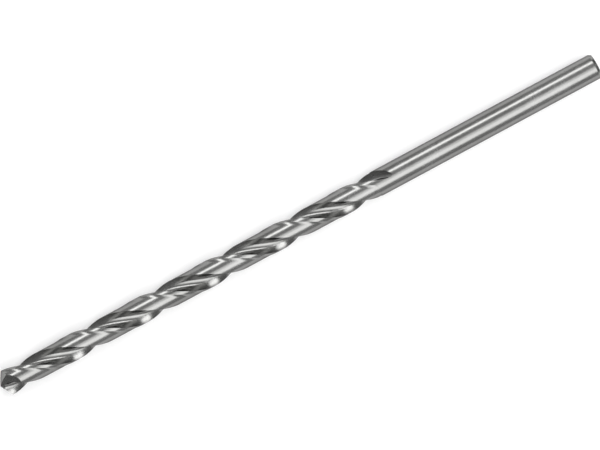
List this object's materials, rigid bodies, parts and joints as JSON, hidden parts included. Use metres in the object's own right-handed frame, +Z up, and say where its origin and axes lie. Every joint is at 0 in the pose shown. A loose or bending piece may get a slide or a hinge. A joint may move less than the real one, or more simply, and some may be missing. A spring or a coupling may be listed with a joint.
{
  "type": "twist drill bit",
  "caption": "Long-series twist drill bit for metal, with right-hand helical flutes, narrow margins, a split cutting point and a plain straight shank.",
  "frame": {"origin": "centre of the shank's flat end face, on the drill's axis", "axes": "+X along the drill's axis from the shank's end to the point, +Z up as it lies"},
  "size_m": [0.139, 0.0054, 0.0054],
  "materials": {
    "tool_steel": "bright ground"
  },
  "bodies": {
    "root": {"twist_drill": "tool_steel"}
  },
  "joints": []
}
